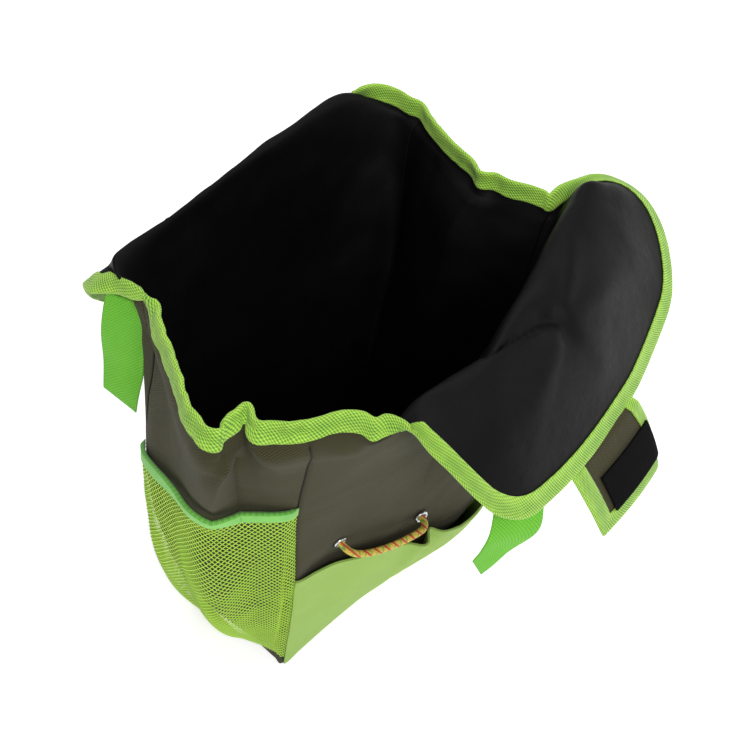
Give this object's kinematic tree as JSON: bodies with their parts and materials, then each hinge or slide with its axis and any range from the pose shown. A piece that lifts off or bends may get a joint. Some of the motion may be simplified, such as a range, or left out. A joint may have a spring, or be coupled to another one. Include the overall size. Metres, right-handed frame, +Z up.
{
  "type": "fruit picking bag",
  "caption": "Open-topped soft picking bag with lined walls, folding mouth flaps, bound rim, mesh side pockets, front pocket, cord loop, closure tab and straps.",
  "frame": {"origin": "centre of the base's underside, on the surface that the bag stands on", "axes": "+Z up; -Y is the wall with the front pocket and cord; -X is the gusset with the nearer mesh pocket"},
  "size_m": [0.4365, 0.4117, 0.3853],
  "materials": {
    "oxford_cloth": "coated woven cloth",
    "lining_cloth": "smooth coated lining",
    "binding": "ribbed webbing tape",
    "strap_webbing": "plain weave webbing",
    "pocket_cloth": "plain woven cloth",
    "netting": "open diamond netting",
    "elastic": "folded elastic band",
    "cord": "braided elastic cord with tracers",
    "eyelet_metal": "pressed metal",
    "hook_tape": "hook and loop tape",
    "board": "stiff board"
  },
  "bodies": {
    "bag": {"front_panel": "oxford_cloth", "back_panel": "oxford_cloth", "left_gusset": "oxford_cloth", "right_gusset": "oxford_cloth", "base_panel": "oxford_cloth", "base_board": "board", "front_lining": "lining_cloth", "back_lining": "lining_cloth", "left_lining": "lining_cloth", "right_lining": "lining_cloth", "base_lining": "lining_cloth", "left_mouth_binding": "binding", "right_mouth_binding": "binding", "mesh_pocket_left": "netting", "mesh_pocket_right": "netting", "pocket_elastic_left": "elastic", "pocket_elastic_right": "elastic", "front_pocket": "pocket_cloth", "front_pocket_hem": "pocket_cloth", "utility_cord": "cord", "cord_knots": "cord", "cord_eyelets": "eyelet_metal", "loop_patch": "hook_tape"},
    "front_flap_body": {"front_flap": "oxford_cloth", "front_flap_lining": "lining_cloth", "front_flap_binding": "binding"},
    "back_flap_body": {"back_flap": "oxford_cloth", "back_flap_lining": "lining_cloth", "back_flap_binding": "binding"},
    "closure_tab_body": {"closure_tab": "oxford_cloth", "closure_tab_binding": "binding", "hook_patch": "hook_tape"},
    "strap_front_left_body": {"strap_front_left": "strap_webbing"},
    "strap_front_right_body": {"strap_front_right": "strap_webbing"},
    "strap_back_left_body": {"strap_back_left": "strap_webbing"},
    "strap_back_right_body": {"strap_back_right": "strap_webbing"}
  },
  "joints": [
    {"name": "front_flap_fold", "type": "hinge", "parent": "bag", "child": "front_flap_body", "pos_m": [-0.05, -0.111, 0.362], "axis": [-0.9794, -0.1851, -0.081], "range_deg": [-8, 55]},
    {"name": "back_flap_fold", "type": "hinge", "parent": "bag", "child": "back_flap_body", "pos_m": [-0.112, 0.117, 0.368], "axis": [0.9948, 0.0911, 0.0456], "range_deg": [-3, 60]},
    {"name": "closure_tab_swing", "type": "hinge", "parent": "front_flap_body", "child": "closure_tab_body", "pos_m": [0.042, -0.2, 0.29], "axis": [-0.9954, -0.0953, 0.0106], "range_deg": [-15, 60]},
    {"name": "strap_front_left_swing", "type": "hinge", "parent": "front_flap_body", "child": "strap_front_left_body", "pos_m": [-0.029, -0.176, 0.3], "axis": [0.9285, -0.3714, 0], "range_deg": [-12, 35]},
    {"name": "strap_front_right_swing", "type": "hinge", "parent": "front_flap_body", "child": "strap_front_right_body", "pos_m": [0.207, -0.15, 0.3], "axis": [0.6817, 0.6544, 0.3272], "range_deg": [-12, 35]},
    {"name": "strap_back_left_swing", "type": "hinge", "parent": "back_flap_body", "child": "strap_back_left_body", "pos_m": [-0.125, 0.129, 0.34], "axis": [0.1367, -0.9845, -0.1094], "range_deg": [-3, 12]},
    {"name": "strap_back_right_swing", "type": "hinge", "parent": "bag", "child": "strap_back_right_body", "pos_m": [0.188, 0.132, 0.374], "axis": [0.2617, -0.9422, -0.2094], "range_deg": [-3, 35]}
  ]
}
